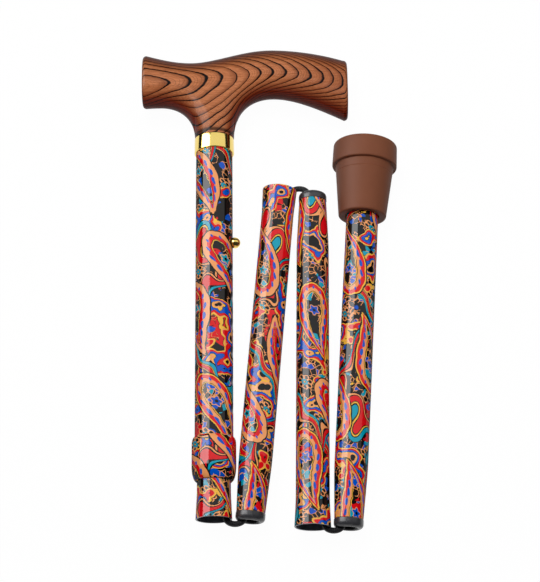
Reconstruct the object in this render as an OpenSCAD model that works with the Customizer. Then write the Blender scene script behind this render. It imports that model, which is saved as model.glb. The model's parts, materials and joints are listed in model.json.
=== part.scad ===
// Folding walking cane, lying folded in a zigzag of four sections.
// The upper section carries a derby handle and telescopes for height; three lower
// sections hang together on an elastic cord and push into each other when opened.
// Every tube axis lies in one level plane, and the rubber tip rests on the floor.

/* [Handle] */
// Reach of the long arm in front of the shaft axis
handle_front = 81.8; // [70:0.1:95]
// Reach of the short arm behind the shaft axis
handle_back = 44.1; // [38:0.1:52]
// Height from the underside of the neck to the crown
handle_height = 60.3; // [54:0.1:68]
// Thickness of the handle, side to side
handle_thick = 25; // [24:0.1:29]
// Radius that rounds the long edges of the handle
handle_round = 9.5; // [7:0.1:11]
// Radius of the flare where the neck runs out of the ferrule
neck_flare = 24; // [22:0.5:26]
// Depth that the spigot reaches into the handle
spigot_reach = 26; // [18:0.5:32]
// Diameter of the spigot inside the handle
spigot_neck_d = 14; // [10:0.1:16]
// Length of the spigot inside the outer tube
spigot_len = 28; // [20:0.5:36]
// Shank diameter of the screw that draws the handle down
screw_d = 4.2; // [3.5:0.1:5]
// Length of the screw past the end of the spigot
screw_bite = 14; // [8:0.5:18]

/* [Ferrule ring] */
// Outer diameter of the ferrule ring
ferrule_d = 24; // [23.4:0.1:26]
// Length of the ferrule ring
ferrule_len = 9.5; // [6:0.1:14]

/* [Upper shaft] */
// Outer diameter of the outer tube
outer_tube_d = 22; // [21.8:0.1:22.6]
// Wall of the outer tube
outer_tube_wall = 1.2; // [1:0.05:1.25]
// Length of the outer tube
outer_tube_len = 196; // [185:0.5:205]
// Length of inner tube that shows below the outer tube at the shortest setting
inner_show = 37.5; // [35:0.5:40]
// Length of the glide that caps the inner tube
glide_len = 4; // [2:0.1:6]

/* [Height button] */
// Distance from the neck to the highest hole
first_hole_drop = 68.4; // [66:0.1:72]
// Distance from the inner tube's upper end to its button
button_inset = 14.4; // [13:0.1:17]
// Number of height holes
hole_count = 7; // [3:1:7]
// Distance from one height hole to the next
hole_pitch = 17; // [14:0.1:17.5]
// Diameter of a height hole
hole_d = 7.2; // [7:0.05:7.6]
// Angle of the holes above the plane of the shaft axes
button_angle = 10; // [0:1:40]
// Diameter of the button's ball head
ball_d = 6.6; // [6:0.05:6.8]
// Distance from the shaft axis to the centre of the ball
ball_reach = 12.5; // [12.4:0.1:14]
// Diameter of the button's shank
shank_d = 5.6; // [4.5:0.05:6]
// Width of the leaf spring behind the button
spring_w = 8; // [6:0.1:9]
// Thickness of the leaf spring
spring_t = 0.8; // [0.6:0.05:1]

/* [Lock collar] */
// Outer diameter of the lock collar
collar_d = 25.2; // [24.8:0.1:26]
// Length of the lock collar
collar_len = 25.5; // [23:0.1:28]
// Length of the collar that covers the outer tube
collar_grip = 9.5; // [8:0.1:12]
// Radius of the collar's rounded rims
collar_round = 3; // [1:0.1:3.4]
// Wall of the collet sleeve round the outer tube
collet_wall = 0.65; // [0.5:0.05:0.7]

/* [Lower sections] */
// Outer diameter of the inner tube and the lower sections
section_d = 19.05; // [18.9:0.01:19.2]
// Wall of the inner tube and the lower sections
section_wall = 0.9; // [0.8:0.05:1]
// Length of a lower section from cap to mouth
section_len = 202; // [190:0.5:202]
// Outer diameter of the flared mouth
mouth_d = 20.5; // [20.2:0.05:20.7]
// Length of the flare at the mouth
flare_len = 14.5; // [12:0.1:18]
// Outer diameter of the drawn-in end that pushes into the next mouth
male_d = 16.2; // [15.9:0.05:16.4]
// Length of the drawn-in taper
taper_len = 29; // [26:0.5:33]
// Radial clearance between a seated taper and its mouth
seat_clear = 0.15; // [0.1:0.01:0.3]
// Visible length of the end cap
cap_len = 5; // [4:0.1:7]
// Length of the cap's plug inside the tube
cap_plug_len = 9; // [6:0.1:12]
// Step by which the cap stands proud of the tube's end
cap_lip = 0.25; // [0.1:0.05:0.35]
// Bore of the cap for the cord
cap_bore_d = 10; // [9:0.1:10.4]

/* [Elastic cord] */
// Diameter of the elastic cord
cord_d = 3.4; // [3:0.1:3.6]
// Depth of the cord's bend inside the outermost rim
bend_inset = 2.2; // [1.8:0.1:2.4]
// Length of the cord's anchor plugs
plug_len = 8; // [6:0.1:12]
// Diameter of the crimp that stops the cord
crimp_d = 8; // [7:0.1:10]
// Length of the crimp
crimp_len = 7; // [5:0.1:10]
// Distance from the button to the upper anchor plug
upper_plug_drop = 32.6; // [30:0.1:36]
// Distance from the last tube's lower end to the lower anchor plug
lower_plug_inset = 72; // [40:0.5:100]

/* [Rubber tip] */
// Distance from the level of the neck down to the middle of the foot, when folded
foot_drop = 5.4; // [2:0.1:12]
// Diameter of the tip at its flange
tip_d = 39; // [36:0.1:42]
// Diameter of the flange at the foot
foot_d = 38.4; // [34:0.1:38.8]
// Length of the flange
tip_flange_len = 14.2; // [10:0.1:18]
// Length of the whole tip
tip_len = 46.6; // [42:0.1:52]
// Diameter of the pot under the flange
pot_top_d = 34.8; // [32:0.1:35]
// Diameter of the pot at its open end
pot_end_d = 28.3; // [26:0.1:31]
// Depth of the socket for the tube
socket_depth = 36; // [32:0.1:38]
// Thickness of the steel washer in the socket
washer_t = 1.5; // [1:0.1:2]
// Chamfer on the rims of the tip
tip_chamfer = 0.8; // [0.4:0.1:1.2]
// Depth of the tread grooves in the foot
tread_depth = 1.2; // [0.8:0.1:2]
// Width of a tread groove
tread_w = 1.6; // [1:0.1:2]

/* [Folded layout] */
// Lean of section 2 against the upper shaft, in degrees
lean_2 = 5.5; // [5.3:0.1:6]
// Lean of section 3, in degrees
lean_3 = 1.2; // [0.6:0.1:1.6]
// Lean of section 4, in degrees
lean_4 = 4.2; // [4.2:0.1:5]
// Least gap between neighbours at a fold
fold_gap = 0.25; // [0.2:0.05:0.8]
// Gap between the lock collar and section 2
collar_gap = 0.35; // [0.3:0.05:0.8]
// Amount that the cap of section 2 sits beyond the upper mouth
drop_2 = 1.5; // [0.5:0.1:2]
// Amount that the cap of section 3 sits behind the mouth of section 2
drop_3 = 2.6; // [2:0.1:3]
// Amount that the cap of section 4 sits beyond the mouth of section 3
drop_4 = 0.9; // [0.5:0.1:2]

/* [Hidden] */
$fn = 64;

// Clearances and the overrun that every cut takes
fit_gap = 0.05;
slide_gap = 0.1;
loose_gap = 0.3;
overrun = 1;

// Radii of the upper shaft
outer_r = outer_tube_d / 2;
outer_bore_r = outer_r - outer_tube_wall;
section_r = section_d / 2;
section_bore_r = section_r - section_wall;
mouth_r = mouth_d / 2;
mouth_bore_r = mouth_r - section_wall;
male_r = male_d / 2;
male_bore_r = male_r - section_wall;
cap_r = male_r + cap_lip;
cap_bore_r = cap_bore_d / 2;
cap_round_share = 0.45;
cap_round = (cap_r - cap_bore_r) * cap_round_share;
cord_r = cord_d / 2;
tip_r = tip_d / 2;
collar_r = collar_d / 2;
neck_r = ferrule_d / 2 + loose_gap;
axis_height = tip_r;
upper_len = outer_tube_len + inner_show;

// How far a taper pushes into its mouth, and its radius at the mouth then
seated_r = mouth_bore_r - seat_clear;
seat_travel = cap_len + taper_len * (seated_r - male_r) / (section_r - male_r);

// Lower sections: turn of each section's own axis, from its start to its mouth
turns = [180, -lean_2, 180 - lean_3, -lean_4];
function heading(turn) = [-sin(turn), cos(turn)];

// Steps from one shaft to the next at each fold
fold_step = mouth_r + seated_r / cos(lean_2) + fold_gap;
collar_low = inner_show + collar_grip - collar_len + collar_round;
collar_step = collar_r + collar_gap + section_r / cos(lean_2) - (collar_low + drop_2) * tan(lean_2);
first_step = max(fold_step, collar_step);

// Starts and mouths of the four sections, measured from the neck
start_1 = [0, 0];
mouth_1 = start_1 + upper_len * heading(turns[0]);
start_2 = mouth_1 + [first_step, -drop_2];
mouth_2 = start_2 + section_len * heading(turns[1]);
start_3 = mouth_2 + [fold_step, -drop_3];
mouth_3 = start_3 + section_len * heading(turns[2]);
start_4 = mouth_3 + [fold_step, -drop_4];
last_len = (-foot_drop - start_4[1]) / cos(lean_4);
foot = start_4 + last_len * heading(turns[3]);

// Cord: it lies against the near wall of each mouth and of each cap's bore
cord_side = section_bore_r - cord_r - loose_gap;
cord_bore_side = cap_bore_r - cord_r - loose_gap;
mouths = [mouth_1, mouth_2, mouth_3];
caps = [start_2, start_3, start_4];
outward = [-1, 1, -1];
function bend_line(f) = outward[f] < 0
    ? min(mouths[f][1], caps[f][1]) + bend_inset
    : max(mouths[f][1], caps[f][1]) - bend_inset;
function bend_from(f) = [mouths[f][0] + cord_side, bend_line(f)];
function bend_to(f) = [caps[f][0] - cord_bore_side, bend_line(f)];
function bend_r(f) = (bend_to(f)[0] - bend_from(f)[0]) / 2;
mouth_leg = seat_travel + cap_len / 2;
cap_leg = cap_len + bend_inset;
function mouth_leg_end(f) = bend_from(f) - mouth_leg * heading(turns[f]);
function cap_leg_end(f) = bend_to(f) + cap_leg * heading(turns[f + 1]);
cord_sides = 12;
bow_steps = 12;

// The frame's origin is under the middle of the folded cane
right_edge = foot[0] + tip_r * cos(lean_4) - tip_flange_len * sin(lean_4);
foot_edge = foot[0] + foot_d / 2 * cos(lean_4);
low_edge = min([for (f = [0, 2]) bend_line(f) - bend_r(f) - cord_r]);
neck = [(handle_back - max(right_edge, foot_edge)) / 2, -(handle_height + low_edge) / 2];

// Sizes that follow from the ones above
inner_top = first_hole_drop - button_inset;
upper_plug_at = first_hole_drop + upper_plug_drop;
glide_r = outer_bore_r - slide_gap;
glide_plug_share = 1.5;
glide_plug_len = glide_len * glide_plug_share;
glide_bore_share = 0.7;
glide_bore_r = section_bore_r * glide_bore_share;
screw_r = screw_d / 2;
screw_head_shares = [1.1, 0.8];
screw_head_r = screw_d * screw_head_shares[0];
screw_head_len = screw_d * screw_head_shares[1];
spring_bore_share = 0.74;
spring_r = section_bore_r * spring_bore_share;
spring_leg_share = 1.5;
spring_drop = spring_w * spring_leg_share;
spring_rise = button_inset - glide_plug_len - spring_t - loose_gap;
rivet_share = 0.28;
rivet_r = shank_d * rivet_share;
button_flange_share = 0.68;
button_flange_r = shank_d * button_flange_share;
button_flange_t = spring_t + fit_gap;
collet_r = outer_r + fit_gap + collet_wall;
collet_grip_share = 0.5;
collet_grip = collar_grip * collet_grip_share;
collet_foot = collar_len - collar_grip - collar_round - loose_gap;
collet_slots = 4;
collet_slot_w = 2 * collet_wall;
collet_slot_share = 0.8;
collar_bore_r = collet_r + slide_gap;
collar_top_lip = collar_grip - collet_grip - loose_gap;
tube_4_len = last_len - tip_len + socket_depth - washer_t;
lower_plug_at = tube_4_len - lower_plug_inset;
socket_r = section_r + fit_gap;
tread_shares = [0.38, 0.6, 0.82];

// Side view of the handle: each stretch is a cubic curve given by its start, two guides and
// its end. Across, a share counts along the arm on its side; upwards, along the height.
top_back_shares = [[-1, 0.95], [-0.79, 0.906], [-0.57, 0.861], [-0.33, 0.861]];
top_rise_shares = [[-0.33, 0.861], [0, 0.861], [0.215, 1], [0.43, 1]];
top_front_shares = [[0.43, 1], [0.62, 1], [0.835, 0.934], [1, 0.84]];
under_front_shares = [[1, 0.225], [0.81, 0.355], [0.62, 0.481], [0.453, 0.481]];
under_neck_shares = [[0.453, 0.481], [0.286, 0.481], [0.15, 0.33]];
under_rear_shares = [[-0.28, 0.23], [-0.48, 0.407], [-0.79, 0.407]];
curve_steps = 6;
arm_share = 0.55;
function cubic(p, t) = pow(1 - t, 3) * p[0] + 3 * t * pow(1 - t, 2) * p[1]
    + 3 * t * t * (1 - t) * p[2] + pow(t, 3) * p[3];
function stretch(p) = [for (i = [0:curve_steps]) cubic(p, i / curve_steps)];
function handle_point(s) = [s[0] * (s[0] < 0 ? handle_back : handle_front), s[1] * handle_height];
function handle_points(list) = [for (s = list) handle_point(s)];
neck_right = [neck_r, 0];
neck_left = [-neck_r, 0];

// Places the children on a section: +Z runs from the section's start towards its mouth
module on_section(start, turn) {
    translate([neck[0] + start[0], neck[1] + start[1], axis_height])
        rotate([0, 0, turn]) rotate([-90, 0, 0]) children();
}

// Places the children on the upper shaft, at a distance below the neck, +X along the button
module at_button(drop) {
    translate([neck[0], neck[1] - drop, axis_height]) rotate([0, -button_angle, 0]) children();
}

// Half of a ring's profile with two rounded corners at its start
module rounded_ring(inner, outer, len, round_r) {
    translate([inner, round_r]) square([outer - inner, len - round_r]);
    translate([inner + round_r, 0]) square([outer - inner - 2 * round_r, len]);
    for (r = [inner + round_r, outer - round_r]) translate([r, round_r]) circle(round_r);
}

// Side view of the handle, run out past both ends and the neck so that those can be cut square
module handle_outline() {
    past = 2 * handle_round;
    top = concat(stretch(handle_points(top_back_shares)), stretch(handle_points(top_rise_shares)),
        stretch(handle_points(top_front_shares)));
    front = concat(stretch(handle_points(under_front_shares)),
        stretch(concat(handle_points(under_neck_shares), [neck_right])));
    rear = stretch(concat([neck_left], handle_points(under_rear_shares)));
    polygon(concat(
        [[-handle_back - past, top[0][1]]], top,
        [[handle_front + past, top[len(top) - 1][1]], [handle_front + past, front[0][1]]], front,
        [[neck_r, -past], [-neck_r, -past]], rear,
        [[-handle_back - past, rear[len(rear) - 1][1]]]));
}

// What is turned away to round the neck down to the ferrule, out to where the arms begin
module neck_waste() {
    rotate([-90, 0, 0]) rotate_extrude() intersection() {
        translate([neck_r + neck_flare, 0]) circle(neck_flare);
        translate([0, -overrun]) square([neck_r + neck_flare * arm_share, neck_flare]);
    }
}

module handle() {
    color("saddlebrown") translate([neck[0], neck[1], axis_height]) difference() {
        intersection() {
            minkowski() {
                linear_extrude(handle_thick - 2 * handle_round, center = true)
                    offset(delta = -handle_round) handle_outline();
                sphere(handle_round, $fn = 20);
            }
            translate([-handle_back, 0, -handle_thick])
                cube([handle_back + handle_front, handle_height + overrun, 2 * handle_thick]);
        }
        neck_waste();
        rotate([-90, 0, 0]) translate([0, 0, -overrun])
            cylinder(h = overrun + spigot_reach + loose_gap, d = spigot_neck_d + 2 * fit_gap);
        rotate([-90, 0, 0])
            cylinder(h = spigot_reach + screw_bite + loose_gap, r = screw_r + fit_gap);
    }
}

module handle_spigot() {
    color("silver") on_section(start_1, turns[0]) difference() {
        union() {
            cylinder(h = spigot_len, r = outer_bore_r - fit_gap);
            translate([0, 0, -spigot_reach]) cylinder(h = spigot_reach + overrun, d = spigot_neck_d);
        }
        translate([0, 0, -spigot_reach - overrun])
            cylinder(h = spigot_reach + spigot_len + 2 * overrun, r = screw_r + fit_gap);
    }
}

module handle_screw() {
    color("gray") on_section(start_1, turns[0]) {
        translate([0, 0, -spigot_reach - screw_bite])
            cylinder(h = spigot_reach + screw_bite + spigot_len + screw_head_len, r = screw_r);
        translate([0, 0, spigot_len]) cylinder(h = screw_head_len, r = screw_head_r);
    }
}

module ferrule_ring() {
    color("gold") on_section(start_1, turns[0]) rotate_extrude()
        translate([outer_r + fit_gap, 0]) square([ferrule_d / 2 - outer_r - fit_gap, ferrule_len]);
}

module outer_tube() {
    color("firebrick") difference() {
        on_section(start_1, turns[0]) rotate_extrude()
            translate([outer_bore_r, 0]) square([outer_tube_wall, outer_tube_len]);
        for (i = [0:hole_count - 1]) at_button(first_hole_drop + i * hole_pitch)
            rotate([0, 90, 0]) cylinder(h = outer_tube_d, d = hole_d);
    }
}

module collet_bush() {
    color("dimgray") on_section(start_1, turns[0]) translate([0, 0, outer_tube_len]) difference() {
        rotate_extrude() {
            translate([outer_r + fit_gap, -collet_grip]) square([collet_wall, collet_grip + fit_gap]);
            translate([section_r + slide_gap, 0])
                square([collet_r - section_r - slide_gap, collet_foot]);
        }
        for (i = [0:collet_slots - 1]) rotate([0, 0, i * 360 / collet_slots])
            translate([0, -collet_slot_w / 2, collet_foot * (1 - collet_slot_share)])
                cube([collar_d, collet_slot_w, collet_foot]);
    }
}

module lock_collar() {
    color("firebrick") on_section(start_1, turns[0])
        translate([0, 0, outer_tube_len - collar_grip]) difference() {
            rotate_extrude() {
                translate([0, collar_round]) square([collar_r, collar_len - 2 * collar_round]);
                square([collar_r - collar_round, collar_len]);
                for (z = [collar_round, collar_len - collar_round])
                    translate([collar_r - collar_round, z]) circle(collar_round);
            }
            translate([0, 0, -overrun]) cylinder(h = collar_len / 2, r = outer_r + loose_gap);
            translate([0, 0, collar_top_lip])
                cylinder(h = collar_len - collar_round - collar_top_lip, r = collar_bore_r);
            cylinder(h = collar_len + overrun, r = section_r + loose_gap);
        }
}

module inner_tube() {
    flare_at = upper_len - flare_len;
    color("firebrick") difference() {
        on_section(start_1, turns[0]) rotate_extrude() polygon([
            [section_bore_r, inner_top], [section_r, inner_top], [section_r, flare_at],
            [mouth_r, upper_len], [mouth_bore_r, upper_len], [section_bore_r, flare_at]]);
        at_button(first_hole_drop) rotate([0, 90, 0]) cylinder(h = outer_tube_d, d = hole_d);
    }
}

module tube_glide() {
    color("dimgray") on_section(start_1, turns[0]) translate([0, 0, inner_top - glide_len])
        rotate_extrude() {
            translate([glide_bore_r, 0]) square([glide_r - glide_bore_r, glide_len]);
            translate([glide_bore_r, 0])
                square([section_bore_r - fit_gap - glide_bore_r, glide_len + glide_plug_len]);
        }
}

module snap_button() {
    color("gold") at_button(first_hole_drop) rotate([0, 90, 0]) {
        translate([0, 0, spring_r + fit_gap]) cylinder(h = button_flange_t, r = button_flange_r);
        translate([0, 0, spring_r - spring_t]) cylinder(h = ball_reach - spring_r + spring_t, r = rivet_r);
        translate([0, 0, spring_r + fit_gap]) cylinder(h = ball_reach - spring_r, d = shank_d);
        translate([0, 0, ball_reach]) sphere(d = ball_d);
    }
}

module button_spring() {
    color("lightgray") at_button(first_hole_drop) difference() {
        linear_extrude(spring_w, center = true) {
            translate([0, -spring_drop]) difference() {
                circle(spring_r);
                circle(spring_r - spring_t);
                translate([-section_d, 0]) square([2 * section_d, section_d]);
            }
            for (x = [-spring_r, spring_r - spring_t])
                translate([x, -spring_drop - fit_gap]) square([spring_t, spring_drop + spring_rise]);
        }
        rotate([0, 90, 0]) cylinder(h = section_d, r = rivet_r + fit_gap);
    }
}

// Round plug with a hole for the cord, seated in a section's bore
module cord_plug() {
    difference() {
        cylinder(h = plug_len, r = section_bore_r - fit_gap);
        translate([0, 0, -overrun]) cylinder(h = plug_len + 2 * overrun, r = cord_r + loose_gap);
    }
}

// Crimped sleeve on the end of the cord
module cord_crimp() {
    difference() {
        cylinder(h = crimp_len, d = crimp_d);
        translate([0, 0, -overrun]) cylinder(h = crimp_len + 2 * overrun, r = cord_r + fit_gap);
    }
}

module upper_cord_plug() {
    color("dimgray") on_section(start_1, turns[0]) translate([0, 0, upper_plug_at]) cord_plug();
}

module upper_cord_crimp() {
    color("gray") on_section(start_1, turns[0])
        translate([0, 0, upper_plug_at - crimp_len]) cord_crimp();
}

// Round cord swept along points of the level plane of the axes
module cord_along(path) {
    last = len(path) - 1;
    rings = [for (i = [0:last]) let (run = path[min(i + 1, last)] - path[max(i - 1, 0)],
            across = [-run[1], run[0]] / norm(run))
        for (k = [0:cord_sides - 1]) let (a = 360 * k / cord_sides)
            [each path[i] + cord_r * cos(a) * across, cord_r * sin(a)]];
    function at(i, k) = i * cord_sides + k % cord_sides;
    walls = [for (i = [0:last - 1], k = [0:cord_sides - 1])
        each [[at(i, k), at(i + 1, k), at(i, k + 1)], [at(i, k + 1), at(i + 1, k), at(i + 1, k + 1)]]];
    ends = [[for (k = [0:cord_sides - 1]) at(0, k)],
        [for (k = [0:cord_sides - 1]) at(last, cord_sides - 1 - k)]];
    color("black") translate([neck[0], neck[1], axis_height])
        polyhedron(rings, concat(walls, ends), convexity = 4);
}

module upper_cord() {
    way = heading(turns[0]);
    anchor_end = upper_plug_at + plug_len + loose_gap;
    cord_along([start_1 + (upper_plug_at - crimp_len) * way, start_1 + anchor_end * way,
        mouth_leg_end(0) - loose_gap * way]);
}

module lower_cord() {
    way = heading(turns[3]);
    anchor_end = lower_plug_at + plug_len + crimp_len;
    cord_along([cap_leg_end(2) + loose_gap * way, start_4 + (lower_plug_at - loose_gap) * way,
        start_4 + anchor_end * way]);
}

module lower_cord_plug() {
    color("dimgray") on_section(start_4, turns[3]) translate([0, 0, lower_plug_at]) cord_plug();
}

module lower_cord_crimp() {
    color("gray") on_section(start_4, turns[3])
        translate([0, 0, lower_plug_at + plug_len]) cord_crimp();
}

// Stretch of cord through a section, from the leg in its cap to the leg in its mouth
module section_cord(f) {
    gap = loose_gap * heading(turns[f]);
    cord_along([cap_leg_end(f - 1) + gap, mouth_leg_end(f) - gap]);
}

module section_2_cord() section_cord(1);
module section_3_cord() section_cord(2);

// The cord where it leaves a mouth, bows over the rims in a half circle and enters the next cap
module cord_bend(f) {
    middle = (bend_from(f) + bend_to(f)) / 2;
    bow = [for (i = [0:bow_steps]) let (a = 180 - 180 * i / bow_steps)
        middle + bend_r(f) * [cos(a), outward[f] * sin(a)]];
    cord_along(concat([mouth_leg_end(f)], bow, [cap_leg_end(f)]));
}

module cord_bend_1() cord_bend(0);
module cord_bend_2() cord_bend(1);
module cord_bend_3() cord_bend(2);

// Drawn-in, tapered end of a lower section, then its straight run, then a flared mouth if it has one
module section_tube(start, turn, len, flared) {
    taper_end = cap_len + taper_len;
    flare_at = flared ? len - flare_len : len;
    end_r = flared ? mouth_r : section_r;
    outer = [[male_r, cap_len], [section_r, taper_end], [section_r, flare_at]];
    inner = [[section_bore_r, flare_at], [section_bore_r, taper_end], [male_bore_r, cap_len]];
    end = flared ? [[end_r, len], [end_r - section_wall, len]] : [];
    color("firebrick") on_section(start, turn) rotate_extrude() polygon(concat(outer, end, inner));
}

module section_2_tube() section_tube(start_2, turns[1], section_len, true);
module section_3_tube() section_tube(start_3, turns[2], section_len, true);
module section_4_tube() section_tube(start_4, turns[3], tube_4_len, false);

// Moulded cap with a rounded lip and a plug inside the drawn-in end
module section_cap(start, turn) {
    color("dimgray") on_section(start, turn) rotate_extrude() {
        rounded_ring(cap_bore_r, cap_r, cap_len, cap_round);
        translate([cap_bore_r, cap_round])
            square([male_bore_r - fit_gap - cap_bore_r, cap_len + cap_plug_len - cap_round]);
    }
}

module section_2_cap() section_cap(start_2, turns[1]);
module section_3_cap() section_cap(start_3, turns[2]);
module section_4_cap() section_cap(start_4, turns[3]);

module tip_washer() {
    color("silver") on_section(start_4, turns[3]) translate([0, 0, tube_4_len])
        cylinder(h = washer_t, r = section_r - fit_gap);
}

module rubber_tip() {
    flange_at = tip_len - tip_flange_len;
    color("sienna") on_section(start_4, turns[3]) translate([0, 0, last_len - tip_len]) difference() {
        rotate_extrude() polygon([
            [socket_r, 0], [pot_end_d / 2 - tip_chamfer, 0], [pot_end_d / 2, tip_chamfer],
            [pot_top_d / 2, flange_at], [tip_r - tip_chamfer, flange_at],
            [tip_r, flange_at + tip_chamfer], [foot_d / 2, tip_len - tip_chamfer],
            [foot_d / 2 - tip_chamfer, tip_len], [0, tip_len], [0, socket_depth],
            [socket_r, socket_depth]]);
        for (share = tread_shares) rotate_extrude()
            translate([share * foot_d / 2, tip_len - tread_depth])
                square([tread_w, tread_depth + overrun]);
    }
}

handle();
handle_spigot();
handle_screw();
ferrule_ring();
outer_tube();
collet_bush();
lock_collar();
inner_tube();
tube_glide();
snap_button();
button_spring();
upper_cord_plug();
upper_cord_crimp();
upper_cord();
cord_bend_1();
section_2_tube();
section_2_cap();
section_2_cord();
cord_bend_2();
section_3_tube();
section_3_cap();
section_3_cord();
cord_bend_3();
section_4_tube();
section_4_cap();
lower_cord();
lower_cord_plug();
lower_cord_crimp();
tip_washer();
rubber_tip();
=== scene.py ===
"""Looks of the folding cane: printed tubes, carved wooden handle, gilt ring and ball,
black caps and cord, and a brown rubber tip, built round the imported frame."""

import json
import math

import bmesh
import bpy
import numpy as np
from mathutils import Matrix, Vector


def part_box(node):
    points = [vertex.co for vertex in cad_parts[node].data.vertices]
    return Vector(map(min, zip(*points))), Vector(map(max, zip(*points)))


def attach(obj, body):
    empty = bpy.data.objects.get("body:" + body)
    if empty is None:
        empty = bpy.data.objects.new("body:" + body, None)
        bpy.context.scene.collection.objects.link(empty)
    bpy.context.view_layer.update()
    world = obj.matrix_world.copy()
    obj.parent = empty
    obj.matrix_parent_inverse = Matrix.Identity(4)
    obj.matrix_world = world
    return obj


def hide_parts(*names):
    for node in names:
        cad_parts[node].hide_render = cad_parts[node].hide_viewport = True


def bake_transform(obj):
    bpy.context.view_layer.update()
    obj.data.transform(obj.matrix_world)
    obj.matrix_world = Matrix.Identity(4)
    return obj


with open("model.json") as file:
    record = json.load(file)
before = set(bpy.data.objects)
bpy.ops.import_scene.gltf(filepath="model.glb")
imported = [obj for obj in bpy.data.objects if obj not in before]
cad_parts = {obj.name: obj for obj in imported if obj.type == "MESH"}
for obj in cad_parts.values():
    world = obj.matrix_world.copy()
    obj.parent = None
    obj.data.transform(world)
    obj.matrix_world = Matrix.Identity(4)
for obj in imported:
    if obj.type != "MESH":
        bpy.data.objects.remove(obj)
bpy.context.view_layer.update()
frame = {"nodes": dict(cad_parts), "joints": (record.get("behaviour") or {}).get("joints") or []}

MM = 0.001
TURN = 2 * math.pi


# Frame: where the round pieces lie

JOINT = {joint["name"]: joint for joint in frame["joints"]}


def heading_of(joint, sign):
    """Unit direction of a slide joint's axis, or its reverse."""
    axis = np.array(JOINT[joint]["axis"], float) * sign
    return axis / np.linalg.norm(axis)


class Line:
    """Axis of a round piece that lies level: where it begins, its heading, and its length.
    The extremes along and across the heading give the axis, because a round piece is even about it."""

    def __init__(self, node, heading):
        mesh = frame["nodes"][node].data
        spots = np.empty(len(mesh.vertices) * 3)
        mesh.vertices.foreach_get("co", spots)
        spots = spots.reshape(-1, 3)
        self.way = heading
        lift = np.array([0.0, 0.0, 1.0]) - heading * heading[2]
        self.up = lift / np.linalg.norm(lift)
        self.side = np.cross(self.way, self.up)
        along, across, height = spots @ self.way, spots @ self.side, spots @ self.up
        middle_across, middle_height = ((part.min() + part.max()) / 2 for part in (across, height))
        self.start = along.min() * self.way + middle_across * self.side + middle_height * self.up
        self.length = along.max() - along.min()
        self.radius = (across.max() - across.min()) / 2

    def ring(self, distance, radius, angle):
        """Points at a distance along the axis, a radius off it and an angle round it from the top."""
        off = np.cos(angle)[..., None] * self.up + np.sin(angle)[..., None] * self.side
        return self.start + distance[..., None] * self.way + radius[..., None] * off


upper_way = heading_of("height", 1)
section_ways = {number: heading_of(f"seat_{number - 1}", -1) for number in (2, 3, 4)}
shaft = Line("outer_tube", upper_way)
handle_low, handle_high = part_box("handle")


# Meshes

def link(name, mesh):
    """Puts a mesh into the scene under a name, at the origin."""
    piece = bpy.data.objects.new(name, mesh)
    bpy.context.scene.collection.objects.link(piece)
    return piece


def grid_faces(rows, columns, closed):
    """Corner numbers of the quads of a grid of rows and columns, whose columns close round if asked."""
    last = columns if closed else columns - 1
    row, column = np.meshgrid(np.arange(rows - 1), np.arange(last), indexing="ij")
    after = (column + 1) % columns
    here, below = row * columns, (row + 1) * columns
    return np.stack([here + column, here + after, below + after, below + column], -1).reshape(-1, 4)


def grid_mesh(name, spots, uv=None, finish=None):
    """Mesh of a grid of points (rows, columns, 3) whose columns close round. uv holds a place for each corner
    of the grid, with one column more than the points; finish holds a material number for each face."""
    rows, columns = spots.shape[:2]
    mesh = bpy.data.meshes.new(name)
    mesh.from_pydata(spots.reshape(-1, 3).tolist(), [], grid_faces(rows, columns, True).tolist())
    if uv is not None:
        corners = grid_faces(rows, columns + 1, False)
        set_wrap(mesh, uv.reshape(-1, 2)[corners])
    if finish is not None:
        mesh.polygons.foreach_set("material_index", finish.astype(np.int32).ravel())
    return mesh


def set_wrap(mesh, places):
    """Adds the map named wrap, with a place for each corner of each face."""
    layer = mesh.uv_layers.new(name="wrap")
    layer.uv.foreach_set("vector", places.astype(np.float32).ravel())


def tidy_mesh(mesh, merge=1e-6, crease=math.radians(32), recalculate=True):
    """Joins doubles at seams and poles, turns the faces outwards if asked and smooths all but real edges."""
    work = bmesh.new()
    work.from_mesh(mesh)
    bmesh.ops.remove_doubles(work, verts=work.verts, dist=merge)
    bmesh.ops.dissolve_degenerate(work, edges=work.edges, dist=merge)
    loose = [v for v in work.verts if not v.link_faces]
    bmesh.ops.delete(work, geom=loose, context="VERTS")
    if recalculate:
        bmesh.ops.recalc_face_normals(work, faces=work.faces)
    work.to_mesh(mesh)
    work.free()
    mesh.shade_smooth()
    mesh.set_sharp_from_angle(angle=crease)


def rounded(corners, steps=6):
    """Profile through corners (distance, radius, fillet), each replaced by an arc of its fillet's size.
    The arc is the quadratic curve from one tangent point through the corner to the other."""
    points = np.array([corner[:2] for corner in corners], float)
    share = np.linspace(0, 1, steps)[:, None]
    out = []
    for index, (at, corner) in enumerate(zip(points, corners)):
        fillet = corner[2] if len(corner) > 2 else 0
        if fillet <= 0 or index in (0, len(points) - 1):
            out.append(at[None])
            continue
        before, after = points[index - 1] - at, points[index + 1] - at
        one = at + before / np.linalg.norm(before) * fillet
        two = at + after / np.linalg.norm(after) * fillet
        out.append((1 - share) ** 2 * one + 2 * share * (1 - share) * at + share ** 2 * two)
    return np.concatenate(out)


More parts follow.
